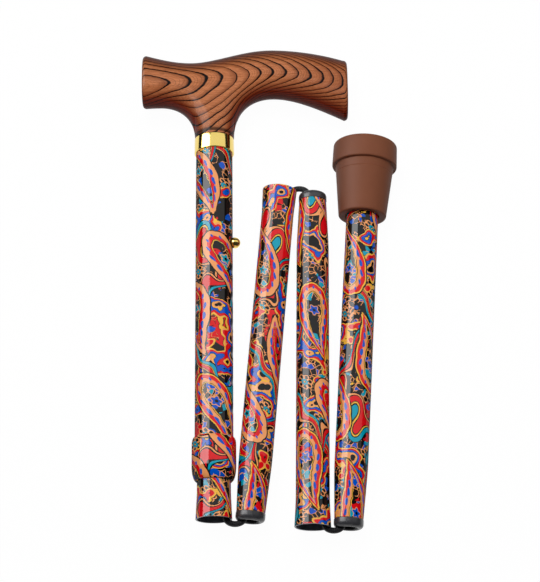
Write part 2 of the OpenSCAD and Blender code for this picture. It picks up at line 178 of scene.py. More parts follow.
def turned(name, line, profile, sides, finish=None, wrap_from=0.0):
    """Surface of revolution: a profile of (distance, radius) carried round the line's axis.
    The wrap map holds the share of a turn and the distance along the profile's axis, in metres."""
    angle = np.linspace(0, TURN, sides, endpoint=False)
    distance, radius = (np.repeat(column[:, None], sides, 1) for column in profile.T)
    spots = line.ring(distance, radius, np.broadcast_to(angle, distance.shape))
    share = np.linspace(0, 1, sides + 1)
    uv = np.stack(np.broadcast_arrays(share[None], profile[:, :1] + wrap_from), -1)
    by_face = None if finish is None else np.repeat(np.asarray(finish)[:, None], sides, 1)
    mesh = grid_mesh(name, spots, uv, by_face)
    tidy_mesh(mesh)
    return link(name, mesh)


def walled_mesh(name, skin, lining, uv, keep):
    """Closed wall between two grids of points: the kept squares of the skin, the same squares of the lining
    turned over, and a strip between the two along every free edge."""
    rows, columns = skin.shape[:2]
    chosen = keep.reshape(-1)
    outer = grid_faces(rows, columns, True)[chosen]
    places = uv.reshape(-1, 2)[grid_faces(rows, uv.shape[1], False)[chosen]]
    count = rows * columns
    begin, finish = outer.ravel(), np.roll(outer, -1, 1).ravel()
    free = ~np.isin(begin * count + finish, finish * count + begin)
    begin, finish = begin[free], finish[free]
    strip = np.stack([finish, begin, begin + count, finish + count], -1)
    at_begin, at_finish = places.reshape(-1, 2)[free], np.roll(places, -1, 1).reshape(-1, 2)[free]
    faces = np.concatenate([outer, outer[:, ::-1] + count, strip])
    strip_places = np.stack([at_finish, at_begin, at_begin, at_finish], 1)
    finishes = np.repeat([0, 1, 1], [len(outer), len(outer), len(strip)])
    spots = np.concatenate([skin.reshape(-1, 3), lining.reshape(-1, 3)])
    mesh = bpy.data.meshes.new(name)
    mesh.from_pydata(spots.tolist(), [], faces.tolist())
    set_wrap(mesh, np.concatenate([places, places[:, ::-1], strip_places]))
    mesh.polygons.foreach_set("material_index", finishes.astype(np.int32))
    tidy_mesh(mesh)
    return mesh


def drilled_tube(name, line, rows, radii, wall, holes, wrap_from=0.0):
    """Thin tube whose skin is a grid of rows along and angles round its axis. Near each hole the grid's
    square rings are drawn onto circles, and the squares inside the hole are left out. rim and calm are the
    square rings that become the hole's edge and that stay as they are."""
    count, sides = len(rows), TUBE_SIDES
    seam = button_angle + math.pi
    angle = seam + np.linspace(0, TURN, sides, endpoint=False)
    row, column = np.meshgrid(np.arange(count), np.arange(sides), indexing="ij")
    along = np.repeat(rows[:, None], sides, 1)
    round_it = np.repeat(angle[None], count, 0)
    radius = np.repeat(radii[:, None], sides, 1)
    keep = np.ones((count - 1, sides), bool)
    rim, calm = 4, 8
    over = column - sides // 2
    for hole in holes:
        down = row - int(np.argmin(abs(rows - hole)))
        ring = np.maximum(abs(down), abs(over))
        bearing = np.arctan2(down, over)
        near = (ring < calm) & (ring >= rim)
        share = np.clip((ring - rim) / (calm - rim), 0, 1)
        swung = button_angle + TURN + np.arcsin(HOLE_R * np.cos(bearing) / radius)
        along = np.where(near, (1 - share) * (hole + HOLE_R * np.sin(bearing)) + share * along, along)
        round_it = np.where(near, (1 - share) * swung + share * round_it, round_it)
        square = np.maximum(abs(down[:-1] + 0.5), abs(over[:-1] + 0.5))
        keep &= square > rim
    share = np.concatenate([round_it, round_it[:, :1] + TURN], 1) / TURN
    uv = np.stack([share, np.concatenate([along, along[:, :1]], 1) + wrap_from], -1)
    return link(name, walled_mesh(name, line.ring(along, radius, round_it),
                                  line.ring(along, radius - wall, round_it), uv, keep))


# Outline of the handle

# Side view of the handle in shares: across, of the arm on that side; upwards, of the height
TOP_SHARES = [[(-1, 0.95), (-0.79, 0.906), (-0.57, 0.861), (-0.33, 0.861)],
              [(-0.33, 0.861), (0, 0.861), (0.215, 1), (0.43, 1)],
              [(0.43, 1), (0.62, 1), (0.835, 0.948), (1, 0.872)]]
FRONT_SHARES = [[(0.15, 0.33), (0.286, 0.481), (0.453, 0.481)],
                [(0.453, 0.481), (0.62, 0.481), (0.81, 0.355), (1, 0.225)]]
REAR_SHARES = [[(-1, 0.386), (-0.93, 0.389), (-0.86, 0.391), (-0.79, 0.391)],
               [(-0.79, 0.391), (-0.48, 0.391), (-0.28, 0.23)]]

rear_arm, front_arm = shaft.start[0] - handle_low.x, handle_high.x - shaft.start[0]
handle_height = handle_high.y - handle_low.y


def cubic(points, steps=80):
    """Points along one cubic curve given by its start, two guides and its end."""
    share = np.linspace(0, 1, steps)[:, None]
    rest = 1 - share
    a, b, c, d = (np.asarray(p, float) for p in points)
    return rest ** 3 * a + 3 * share * rest ** 2 * b + 3 * share ** 2 * rest * c + share ** 3 * d


def placed(shares):
    """Points across and up from the middle of the neck's foot, worked out from their shares."""
    return [((rear_arm if across < 0 else front_arm) * across, handle_height * up) for across, up in shares]


def top_edge():
    """Points along the top of the side view, from the back end to the front end."""
    return np.concatenate([cubic(placed(part)) for part in TOP_SHARES])


# Shader maths

def maths(operation):
    """Method that puts a value, and the others that it is given, into one Math node."""
    def method(self, *others):
        return node(self.tree, "ShaderNodeMath", {"operation": operation}, (self, *others))
    return method


def reflected(operation):
    """Method for a number on the left of its sign and a value on the right."""
    def method(self, other):
        return node(self.tree, "ShaderNodeMath", {"operation": operation}, (other, self))
    return method


class Value:
    """A socket that takes part in Python sums: each operator adds a Math node to its tree."""

    def __init__(self, tree, socket):
        self.tree, self.socket = tree, socket

    __add__ = maths("ADD")
    __radd__ = reflected("ADD")
    __sub__ = maths("SUBTRACT")
    __rsub__ = reflected("SUBTRACT")
    __mul__ = maths("MULTIPLY")
    __rmul__ = reflected("MULTIPLY")
    __truediv__ = maths("DIVIDE")
    __rtruediv__ = reflected("DIVIDE")
    __lt__ = maths("LESS_THAN")
    __gt__ = maths("GREATER_THAN")
    __abs__ = maths("ABSOLUTE")
    sin = maths("SINE")
    cos = maths("COSINE")
    root = maths("SQRT")
    floor = maths("FLOOR")
    part = maths("FRACT")
    most = maths("MAXIMUM")
    angle = maths("ARCTAN2")

    def __neg__(self):
        return self * -1.0

    def ramp(self, low, high):
        """0 at low, 1 at high, with a smooth rise between them."""
        return node(self.tree, "ShaderNodeMapRange", {"interpolation_type": "SMOOTHSTEP"},
                    {"Value": self, "From Min": low, "From Max": high})


def node(tree, kind, settings=None, inputs=None, output=0):
    """Adds one node: its settings first, then its sockets' values or links; returns one output."""
    made = tree.nodes.new(kind)
    for key, value in (settings or {}).items():
        setattr(made, key, value)
    pairs = inputs.items() if isinstance(inputs, dict) else enumerate(inputs or ())
    for key, value in pairs:
        if isinstance(value, Value):
            tree.links.new(value.socket, made.inputs[key])
        else:
            made.inputs[key].default_value = value
    return Value(tree, made.outputs[output]) if made.outputs else None


def shade(text):
    """Linear colour of a six-figure screen colour."""
    parts = [int(text[i:i + 2], 16) / 255 for i in (0, 2, 4)]
    return tuple(c / 12.92 if c <= 0.04045 else ((c + 0.055) / 1.055) ** 2.4 for c in parts) + (1.0,)


class Finish:
    """A material with one Principled shader, and short ways to its coordinates and textures."""

    def __init__(self, name, **constants):
        self.material = bpy.data.materials.new(name)
        self.material.use_nodes = True
        self.tree = self.material.node_tree
        self.shader = self.tree.nodes["Principled BSDF"]
        for key, value in constants.items():
            self.shader.inputs[key.replace("_", " ")].default_value = value

    def feed(self, socket, value):
        """Links a value to one of the shader's sockets."""
        self.tree.links.new(value.socket, self.shader.inputs[socket])

    def place(self):
        """Object coordinates, in metres."""
        return node(self.tree, "ShaderNodeTexCoord", None, None, "Object")

    def wrap(self):
        """The piece's own wrap map: share of a turn, and metres along."""
        return node(self.tree, "ShaderNodeUVMap", {"uv_map": "wrap"})

    def split(self, vector):
        """The three numbers of a vector or colour."""
        first = node(self.tree, "ShaderNodeSeparateXYZ", None, (vector,))
        return [Value(self.tree, socket) for socket in first.socket.node.outputs]

    def join(self, *parts):
        """One vector of three numbers."""
        return node(self.tree, "ShaderNodeCombineXYZ", None, parts)

    def noise(self, vector, scale, detail=2.0, rough=0.5, output="Fac"):
        """Cloudy noise from 0 to 1, with its scale in waves to the unit of the vector."""
        return node(self.tree, "ShaderNodeTexNoise", None,
                    {"Vector": vector, "Scale": scale, "Detail": detail, "Roughness": rough}, output)

    def mix(self, share, under, over):
        """One colour over another by a share."""
        return node(self.tree, "ShaderNodeMix", {"data_type": "RGBA"}, {0: share, 6: under, 7: over}, 2)

    def mottle(self, cloud, one, two, least, spread):
        """Colour from one tone to the other, and roughness from its least by a spread, as a noise rises."""
        self.feed("Base Color", self.mix(cloud, shade(one), shade(two)))
        self.feed("Roughness", least + spread * cloud)

    def chance(self, vector, output="Value"):
        """A number or colour drawn by a cell's whole coordinates."""
        return node(self.tree, "ShaderNodeTexWhiteNoise", {"noise_dimensions": "3D"},
                    {"Vector": vector}, output)

    def bump(self, height, strength, distance):
        """Relief by a height from 0 to 1, of a distance in metres."""
        self.feed("Normal", node(self.tree, "ShaderNodeBump", None,
                                 {"Height": height, "Strength": strength, "Distance": distance}))


# Printed film: a paisley of the maker's own, in charcoal, peach, red, teal and cobalt

CHARCOAL, INK, PEACH = shade("141110"), shade("040404"), shade("f7a364")
RED, TEAL, COBALT, AMBER = shade("e20d18"), shade("00a0ba"), shade("0054c6"), shade("fcc040")

# Girth of a tube as the print takes it, in millimetres
PRINT_GIRTH = 62.0

# Bands of a cloud from its rim inwards: the least height of the noise, and the colour from there
CLOUD_BANDS = [(0.475, INK), (0.481, AMBER), (0.5, PEACH), (0.508, RED), (0.545, INK),
               (0.551, COBALT), (0.595, INK), (0.601, AMBER), (0.615, PEACH), (0.64, INK)]

# Stripes of a ribbon as shares of its pitch: from, to, and colour
BROAD_STRIPES = [(0.0, 0.2, INK), (0.012, 0.058, TEAL), (0.068, 0.08, AMBER), (0.088, 0.15, RED),
                 (0.162, 0.182, PEACH)]
FINE_STRIPES = [(0.0, 0.128, INK), (0.012, 0.026, PEACH), (0.038, 0.082, RED), (0.094, 0.114, TEAL)]


class PrintedFilm(Finish):
    """Curled teardrops in columns that wind round the tube, between swinging ribbons and banded clouds, on a
    charcoal ground of outlined cells and rosettes, under lacquer. Round the tube every figure repeats a whole
    number of times, so the wrap closes. Lengths along and round the tube are millimetres."""

    def __init__(self):
        super().__init__("printed_film", Roughness=0.5, Specular_IOR_Level=0.0,
                         Coat_Weight=0.09, Coat_Roughness=0.03, Coat_IOR=3.8)
        turn, along, _ = self.split(self.wrap())
        self.turn = turn.part()
        self.run = along * (1 / MM)
        self.spot = self.place()
        ground = self.cells()
        layer = self.clouds(self.rosettes(ground))
        layer = self.ribbon(layer, BROAD_STRIPES, pitch=71.0, hand=1.0, sway=0.1, phase=0.0)
        layer = self.ribbon(layer, FINE_STRIPES, pitch=94.0, hand=-1.0, sway=0.09, phase=1.9)
        self.feed("Base Color", self.teardrops(layer, ground))
        self.bump(self.noise(self.spot, 900.0), strength=0.02, distance=0.05 * MM)

    def lattice(self, columns, height, drift, seed):
        """Cells on columns that wind, each column a share lower than the last, so that a whole turn drops
        one cell: the place of a point off its cell's middle, and three numbers drawn for the cell."""
        across = self.turn * columns + self.run * (columns / drift)
        column = across.floor()
        lap = ((column + 0.5) / columns).floor()
        order = column - lap * columns
        down = self.run / height + order / columns
        luck = self.chance(self.join(order, down.floor(), seed), "Color")
        x = (across.part() - 0.5) * (PRINT_GIRTH / columns)
        y = (down.part() - 0.5) * height
        return x, y, self.split(luck)

    def cells(self):
        """A foam of small cells. The distance to a cell's edge draws its outline, which comes and goes,
        and the numbers drawn for the cell colour it, in red where a slow noise is high."""
        sway = self.noise(self.spot, 260.0, 1.0, output="Color")
        wound = node(self.tree, "ShaderNodeVectorMath", {"operation": "MULTIPLY_ADD"},
                     (sway, (0.0022,) * 3, self.spot))
        foam = {"Vector": wound, "Scale": 300.0}
        edge = node(self.tree, "ShaderNodeTexVoronoi", {"feature": "DISTANCE_TO_EDGE"}, foam)
        pick, pick_two, _ = self.split(node(self.tree, "ShaderNodeTexVoronoi", None, foam, "Color"))
        warm = self.noise(self.spot, 52.0, 1.0) > 0.57
        cell = self.mix(pick > 0.88, CHARCOAL, COBALT)
        cell = self.mix(pick < 0.09, cell, TEAL)
        cell = self.mix(warm * (pick < 0.8), cell, RED)
        outline = (edge < 0.048) * (self.noise(self.spot, 120.0, 1.0) > 0.49)
        return self.mix(outline, cell, self.mix(warm * (pick_two > 0.3), PEACH, INK))

    def rosettes(self, under):
        """A ring of small outlined discs round a lobed heart. The bearing is folded into one sector of the
        ring, so that one disc stands for all."""
        size, count = 3.3, 7
        x, y, luck = self.lattice(columns=3, height=23.0, drift=130.0, seed=3.0)
        reach = (x * x + y * y).root()
        sector = ((y.angle(x) + luck[0] * TURN) * (count / TURN)).part() - 0.5
        bearing = sector * (TURN / count)
        side = reach * bearing.sin()
        out = reach * bearing.cos() - size
        disc = (side * side + out * out).root()
        disc_r = size * math.sin(math.pi / count)
        layer = self.mix(disc < disc_r * 1.15, under, PEACH)
        layer = self.mix(disc < disc_r * 0.7, layer, CHARCOAL)
        heart = reach / (size * (0.68 + 0.1 * (bearing * count).cos()))
        for most, colour in ((1.0, INK), (0.86, TEAL), (0.36, INK), (0.2, AMBER)):
            layer = self.mix(heart < most, layer, colour)
        return layer

    def clouds(self, under):
        """Level bands of a slow noise, drawn out into lobes round cell middles."""
        lobe = node(self.tree, "ShaderNodeTexVoronoi", None, {"Vector": self.spot, "Scale": 190.0})
        aside = node(self.tree, "ShaderNodeVectorMath", {"operation": "ADD"}, (self.spot, (0.3, 0.1, 0.0)))
        height = self.noise(aside, 62.0, 1.0) - 0.11 * lobe
        for least, colour in CLOUD_BANDS:
            under = self.mix(height > least, under, colour)
        return under

    def ribbon(self, under, stripes, pitch, hand, sway, phase):
        """A helix of a pitch and hand that swings from side to side, as a bundle of coloured stripes. The
        swing is the sum of two waves, one two times and one three times round."""
        long_wave, short_wave = 53.0, 31.0
        around = self.turn * TURN
        swing = (around * 2 + self.run * (TURN / long_wave) + phase).sin()
        swing = swing + 0.5 * (around * 3 - self.run * (TURN / short_wave)).sin()
        band = (self.run / pitch + self.turn * hand + sway * swing).part()
        for low, high, colour in stripes:
            under = self.mix((band > low) * (band < high), under, colour)
        return under

    def teardrops(self, under, ground):
        """Egg-shaped levels with a curled tip, banded from the rim inwards by the depth below it, which is
        what the level lacks of 1 over its steepness. Beads lie in the band and a flower in the broad end."""
        wide, tall, curl, lean = 9.2, 23.0, 6.5, math.radians(15)
        beads, petals = 17, 5
        x, y, luck = self.lattice(columns=2, height=58.0, drift=210.0, seed=5.0)
        x = x * ((luck[0] > 0.5) * 2 - 1)
        dyed = luck[1] > 0.6
        rise = (y * math.cos(lean) - x * math.sin(lean)) / tall
        tip = rise.most(0.0)
        taper = wide * (0.5 - 0.5 * rise).most(0.06).root() * 1.41
        swing = (x * math.cos(lean) + y * math.sin(lean) - curl * tip * tip) / taper
        bearing = swing.angle(rise)
        level = (swing * swing + rise * rise).root()
        across, upwards = swing / taper, rise / tall
        steep = (across * across + upwards * upwards).root() / level
        depth = (1.0 - level) / steep + 0.5 * abs((bearing * 6.0).cos())
        layer = self.mix(depth > -0.7, under, INK)
        layer = self.mix(depth > 0.0, layer, self.mix(dyed, PEACH, AMBER))
        layer = self.mix((depth > 0.7) * dyed, layer, RED)
        layer = self.mix(depth > 3.1, layer, self.mix(dyed, RED, PEACH))
        bead_x = ((bearing * (beads / TURN)).part() - 0.5) * (TURN / beads) * level / steep
        bead_y = depth - 3.0
        layer = self.mix((bead_x * bead_x + bead_y * bead_y).root() < 0.95, layer, COBALT)
        for least, colour in ((5.4, INK), (5.8, AMBER), (6.3, ground)):
            layer = self.mix(depth > least, layer, colour)
        side, up = swing * taper, rise * tall + 6.0
        reach = (side * side + up * up).root()
        flower = reach - 0.6 * (side.angle(up) * petals).cos()
        layer = self.mix(flower < 3.0, layer, PEACH)
        layer = self.mix(flower < 2.4, layer, self.mix(dyed, TEAL, COBALT))
        return self.mix(reach < 0.9, layer, INK)


# Wood, metals, plastics, rubber and cord

HONEY, TAN, UMBER, RUSSET = shade("d08456"), shade("a75f3a"), shade("6b2f14"), shade("702204")
EDGE_SHADE, TOP_EDGE_SHADE = shade("781a02"), shade("471503")
LATE_WOOD_AND_SHADOW, FIBRE, PORE = shade("080707"), shade("24100a"), shade("2c130a")


def carved_wood():
    """Growth layers that lie nearly level with the side of the handle, rise along a curved crest and dip
    towards the front: each shows as an arch that hugs the rounded edges. Late wood is a near black line
    at the end of each layer; finer lines, fibres and pores lie between. Painted shade darkens the rounded
    edges, the underside and the top edge, and a painted shadow line lies just above the neck's foot.
    x and y are millimetres from the handle's lowest corner, and deep is the depth below its top side."""
    wood = Finish("carved_wood", Specular_IOR_Level=0.03,
                  Coat_Weight=0.12, Coat_Roughness=0.16, Coat_IOR=1.7)
    low, high = handle_low, handle_high
    spot = wood.place()
    x, y, z = wood.split(spot)
    x = (x - low.x) * (1 / MM)
    y = (y - low.y) * (1 / MM)
    half = (high.z - low.z) / 2 / MM
    deep = half - (z - (low.z + high.z) / 2) * (1 / MM)

    # Layers
    crest = 38.0 - 0.002 * (x - 74.0) * (x - 74.0)
    off = y - crest
    blunt = 3.5 + 0.07 * x
    bend = ((off * off + blunt * blunt).root() - blunt) * (1.4 + 0.8 * off.ramp(-2.0, 5.0))
    drift = wood.noise(spot, 26.0, 1.5, 0.4) - 0.5
    fine = wood.noise(spot, 190.0, 2.0, 0.5) - 0.5
    neck = (-off).ramp(8.0, 28.0) * (1 - x.ramp(58.0, 84.0))
    level = (x + bend) * 0.235 + deep * (0.85 - 0.6 * neck) + drift * 2.6 + fine * 0.35
    ring = level * 0.34 + level * level * 0.0055 + 0.3
    share = ring.part()
    luck = wood.chance(wood.join(ring.floor(), 2.0, 0.0))
    width = 0.13 + 0.2 * luck

    # Lines, fibres and pores
    bold = ((share - 1 + width) / (width * 0.4)).ramp(0.0, 1.0) * (1 - share.ramp(0.975, 1.0))
    thin = (ring * 5 + fine * 0.8).part().ramp(0.8, 0.92) * (0.1 + 0.55 * luck)
    grain = wood.noise(wood.join(x * 0.05, y * 1.1, z * 1100.0), 2.2, 3.0, 0.6)
    pores = wood.noise(wood.join(x * 0.2, y * 2.6, z * 2600.0), 1.6, 2.0, 0.5).ramp(0.6, 0.68)

    # Height of the top edge: a polynomial fitted to it, of the place along from -1 to 1
    middle = (high.x - low.x) / 2 / MM
    edge = (top_edge() + [rear_arm, 0]) / MM
    terms = np.polynomial.polynomial.polyfit(edge[:, 0] / middle - 1, edge[:, 1], 5).tolist()
    along = x / middle - 1
    brow = terms.pop()
    for term in reversed(terms):
        brow = term + along * brow

    # Colour: early wood, darker towards each line and the front, with painted shade on the underside, the
    # rounded edges and the top edge
    body = wood.mix(grain.ramp(0.3, 0.75), HONEY, TAN)
    body = wood.mix(share.ramp(0.35, 0.95) * 0.65, body, UMBER)
    body = wood.mix(x.ramp(78.0, 124.0) * 0.3, body, RUSSET)
    # Painted shade: darker down the rounded edges and on the underside, away from the top side
    body = wood.mix((deep / half).ramp(0.03, 0.6) * 0.94, body, EDGE_SHADE)
    # Painted shade: darker along the top edge of the side view
    body = wood.mix((1 - (brow - y).ramp(3.5, 14.0)) * 0.85, body, TOP_EDGE_SHADE)
    body = wood.mix(thin, body, FIBRE)
    body = wood.mix(pores * 0.5, body, PORE)
    # Painted shadow: a dark band just above the neck's foot, where the handle meets the ring, in the late
    # wood's colour
    neck_foot_shadow = y.ramp(0.8, 1.3) * (1 - y.ramp(2.2, 4.2))
    body = wood.mix(bold.most(neck_foot_shadow * 0.8), body, LATE_WOOD_AND_SHADOW)
    wood.feed("Base Color", body)
    wood.feed("Roughness", 0.34 + 0.12 * grain + 0.1 * bold)
    wood.bump(grain * 0.5 - pores - bold * 0.6, strength=0.06, distance=0.1 * MM)
    return wood.material


def gilt_metal():
    """Polished gold plate with a faint haze from handling."""
    gilt = Finish("gilt_metal", Metallic=1.0)
    gilt.mottle(gilt.noise(gilt.place(), 90.0, 3.0), "f6dd88", "eecd68", least=0.07, spread=0.07)
    return gilt.material


def black_plastic():
    """Moulded black nylon with a fine grain."""
    nylon = Finish("black_plastic")
    spot = nylon.place()
    nylon.mottle(nylon.noise(spot, 60.0), "303033", "3e3e42", least=0.2, spread=0.12)
    nylon.bump(nylon.noise(spot, 1400.0), strength=0.08, distance=0.06 * MM)
    return nylon.material


def anodised_bore():
    """Grey anodised bore and rim of the tubes, faintly streaked."""
    bore = Finish("anodised_bore", Metallic=0.3)
    bore.mottle(bore.noise(bore.place(), 240.0), "7e818b", "9295a0", least=0.28, spread=0.16)
    return bore.material


def brown_rubber():
    """Matte moulded rubber: mottled brown, fine pores and a dusty bloom."""
    rubber = Finish("brown_rubber", Specular_IOR_Level=0.22)
    spot = rubber.place()
    cloud = rubber.noise(spot, 45.0, 4.0, 0.6)
    dust = rubber.noise(spot, 420.0).ramp(0.7, 0.8)
    colour = rubber.mix(cloud, shade("75432d"), shade("845038"))
    rubber.feed("Base Color", rubber.mix(dust * 0.25, colour, shade("8f624b")))
    rubber.feed("Roughness", 0.5 + 0.16 * cloud)
    rubber.bump(rubber.noise(spot, 1100.0), strength=0.12, distance=0.08 * MM)
    return rubber.material


def braided_cord():
    """Two sets of strands that cross round the cord: the product of two opposed helical waves."""
    strands, pitch = 6, 2.1 * MM
    braid = Finish("braided_cord", Roughness=0.62)
    turn, along, _ = braid.split(braid.wrap())
    around, run = turn * (TURN * strands), along * (TURN / pitch)
    weave = (around + run).sin() * (around - run).sin()
    braid.feed("Base Color", braid.mix(weave.ramp(-0.6, 0.9), shade("08080a"), shade("222226")))
    braid.bump(weave, strength=0.5, distance=0.2 * MM)
    return braid.material


def plain_steel(name, tone):
    """Bright steel or alloy with a drawn grain."""
    steel = Finish(name, Metallic=1.0)
    steel.mottle(steel.noise(steel.place(), 700.0), tone, "8d8d90", least=0.26, spread=0.14)
    return steel.material


film = PrintedFilm().material
wood = carved_wood()
gilt = gilt_metal()
nylon = black_plastic()
bore = anodised_bore()
rubber = brown_rubber()
braid = braided_cord()
steel = plain_steel("spring_steel", "b9b9bd")
alloy = plain_steel("drawn_alloy", "cfcfd4")


def dress(piece, body, materials, solid):
    """Gives a piece its materials and its body, and hides the solid that it stands for."""
    for material in materials:
        piece.data.materials.append(material)
    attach(piece, body)
    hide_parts(solid)


# Handle

# Edge of the flat ends; how far the edges' rounding reaches in, its power and how softly two of them meet;
# the neck's lip over the ring, the height over which its roundness fades, and the share of its ribs' width
# at the top edge; and how far an edge is taken to run on past its end
END_EDGE = 2.2 * MM
ROUND_IN, ROUND_POWER, ROUND_SOFT = 14.5 * MM, 2.1, 2.2 * MM
NECK_LIP, NECK_RISE, NECK_TOP_SHARE = 0.3 * MM, 15 * MM, 0.72
RUN_ON = 30 * MM


def run_along(path):
    """Distance run at each point of a path."""
    steps = np.linalg.norm(np.diff(path, axis=0), axis=1)
    return np.concatenate([[0], np.cumsum(steps)])


def even(path, places):
    """Points of a path at the given shares of its length."""
    run = run_along(path)
    return np.stack([np.interp(places * run[-1], run, column) for column in path.T], -1)


def flat_end(ring, step):
    """Rings that close an end: a quarter circle round its edge, then shrinking rings on its flat."""
    turn = np.linspace(0, math.pi / 2, 7)[1:]
    flat_shares = np.array([0.35, 0.7, 1.0])
    centre = ring.mean(0)
    size = np.abs(ring - centre).max(0)[1:]
    inset = np.concatenate([END_EDGE * (1 - np.cos(turn)), size.min() * flat_shares])
    out = np.concatenate([END_EDGE * np.sin(turn), np.full(len(flat_shares), END_EDGE)])
    shrink = np.clip(1 - inset[:, None, None] / np.array([1, size[0], size[1]]), 0, 1)
    shrink[-1] = 0
    shrink[..., 0] = 1
    rings = centre + (ring[None] - centre) * shrink
    rings[..., 0] = ring[None, :, 0] + step * out[:, None]
    return rings


def handle_piece():
    """Ribs join the top edge to the underside. At each point of a rib the half thickness grows with the
    distance to the edges, as a circle would, and close to the neck it is that of a round bar."""
    thick = (handle_high.z - handle_low.z) / 2
    neck_r = Line("ferrule_ring", upper_way).radius + NECK_LIP
    top = top_edge()
    right = np.concatenate([cubic([(neck_r, 0)] + placed(FRONT_SHARES[0])), cubic(placed(FRONT_SHARES[1]))])
    left = np.concatenate([cubic(placed(REAR_SHARES[0])), cubic(placed(REAR_SHARES[1]) + [(-neck_r, 0)])])

    # Ribs, from the back end over the neck to the front end
    shares = [np.linspace(0, 1, 56), np.linspace(-1, 1, 33)[1:-1], np.linspace(0, 1, 100)]
    turn = shares[1] * math.pi / 2
    under = np.concatenate([even(left, shares[0]), np.stack([neck_r * np.sin(turn), 0 * turn], -1),
                            even(right, shares[2])])
    reach = NECK_TOP_SHARE * neck_r
    over_x = np.concatenate([-rear_arm + (rear_arm - reach) * shares[0], reach * np.sin(turn),
                             reach + (front_arm - reach) * shares[2]])
    order = np.argsort(top[:, 0])
    over = np.stack([over_x, np.interp(over_x, top[order, 0], top[order, 1])], -1)

    # Round each rib: up the near side and down the far side
    half = 28
    lift = (1 - np.cos(np.linspace(0, math.pi, half))) / 2
    flat = under[:, None] + (over - under)[:, None] * lift[None, :, None]

    def gap(edge):
        """Distance of every rib point to the nearest point of an edge."""
        spots = even(edge, np.linspace(0, 1, 500))
        points = flat.reshape(-1, 2)
        near = np.concatenate([np.linalg.norm(block[:, None] - spots[None], axis=2).min(1)
                               for block in np.array_split(points, 40)])
        return near.reshape(flat.shape[:2])

    top_run = np.concatenate([top[:1] - [[RUN_ON, 0]], top, top[-1:] + [[RUN_ON, 0]]])
    rear_run = np.concatenate([left[:1] - [[RUN_ON, 0]], left, [[-neck_r, -RUN_ON]]])
    front_run = np.concatenate([[[neck_r, -RUN_ON]], right, right[-1:] + [[RUN_ON, -0.8 * RUN_ON]]])
    gaps = np.stack([gap(edge) for edge in (top_run, rear_run, front_run)])
    depth = -ROUND_SOFT * np.log(np.exp(-gaps / ROUND_SOFT).sum(0))
    inward = np.clip(depth / ROUND_IN, 0, 1)
    bulge = thick * np.sqrt(1 - (1 - inward) ** ROUND_POWER)
    bar = np.sqrt(np.clip(neck_r ** 2 - flat[..., 0] ** 2, 0, None))
    rise = np.clip(flat[..., 1] / NECK_RISE, 0, 1)
    rise = rise * rise * (3 - 2 * rise)
    bulge = (1 - rise) * bar + rise * bulge
    bulge[:, -1] = 0
    off_neck = np.abs(under[:, 1]) > 1e-9
    bulge[off_neck, 0] = 0

    near = np.concatenate([flat, bulge[..., None]], -1)
    far = near[:, ::-1] * [1, 1, -1]
    closing = np.concatenate([under, np.zeros((len(under), 1))], -1)[:, None]
    loop = np.concatenate([closing, near, far[:, 1:]], 1)

    # Room for the ends' edges, and the ends
    loop[..., 0] *= 1 - END_EDGE / np.where(loop[..., 0] < 0, rear_arm, front_arm)
    loop = np.concatenate([flat_end(loop[0], -1)[::-1], loop, flat_end(loop[-1], 1)])
    spots = loop + [shaft.start[0], handle_low.y, shaft.start[2]]
    mesh = grid_mesh("carved_handle", spots)
    tidy_mesh(mesh, merge=2e-6, crease=math.radians(50))
    return link("carved_handle", mesh)


dress(handle_piece(), "handle", [wood], "handle")


# Upper shaft

TUBE_SIDES = 96
OUTER_WALL, SECTION_WALL = 1.2 * MM, 0.9 * MM
SECTION_R, MOUTH_R, MALE_R = 9.525 * MM, 10.25 * MM, 8.1 * MM
FLARE_LEN, TAPER_LEN = 14.5 * MM, 29 * MM
CAP_LEN, CAP_R, CAP_BORE_R = 5 * MM, 8.35 * MM, 5 * MM
CORD_R = 1.7 * MM
HOLE_R, HOLE_COUNT = 3.6 * MM, 7
FIT_GAP = 0.05 * MM

# Where along the print each of these pieces begins, in metres
INNER_PRINT, COLLAR_PRINT, SECTION_PRINT, SECTION_PRINT_STEP = 0.021, 0.083, 0.031, 0.157

outward = -heading_of("button_press", 1)
button_line = Line("snap_button", outward)
button_angle = math.atan2(outward @ shaft.side, outward @ shaft.up)
first_hole = float((button_line.start - shaft.start) @ shaft.way)
height_travel = JOINT["height"]["range_m"][1]
ROWS_PER_HOLE = 20
row_pitch = height_travel / (HOLE_COUNT - 1) / ROWS_PER_HOLE


def rows_through(hole, length):
    """Even rows along a tube of which one meets the hole's middle, and the tube's two ends."""
    rows = np.arange(hole % row_pitch, length, row_pitch)
    least = 0.35 * row_pitch
    inside = rows[(rows > least) & (rows < length - least)]
    return np.concatenate([[0], inside, [length]])


def ferrule_piece():
    """Ring: a rectangle with its two outer corners softened, turned round the shaft."""
    line = Line("ferrule_ring", upper_way)
    inner, outer, length = shaft.radius + FIT_GAP, line.radius, line.length
    top, foot = (0, outer, 0.4 * MM), (length, outer, 0.6 * MM)
    profile = rounded([(0, inner), top, foot, (length, inner), (0, inner)])
    return turned("gilt_ferrule", line, profile, 144)


def outer_tube_piece():
    """Printed tube of one radius, with a row of even height holes on the button's side."""
    rows = rows_through(first_hole, shaft.length)
    holes = first_hole + np.linspace(0, height_travel, HOLE_COUNT)
    radii = np.full(len(rows), shaft.radius)
    return drilled_tube("printed_outer_tube", shaft, rows, radii, OUTER_WALL, holes)


def eased(share, soft=0.2):
    """0 for a share well below 0, the share itself well above 0, and a parabola across the bend."""
    return np.where(share > soft, share, np.clip(share + soft, 0, None) ** 2 / (4 * soft))


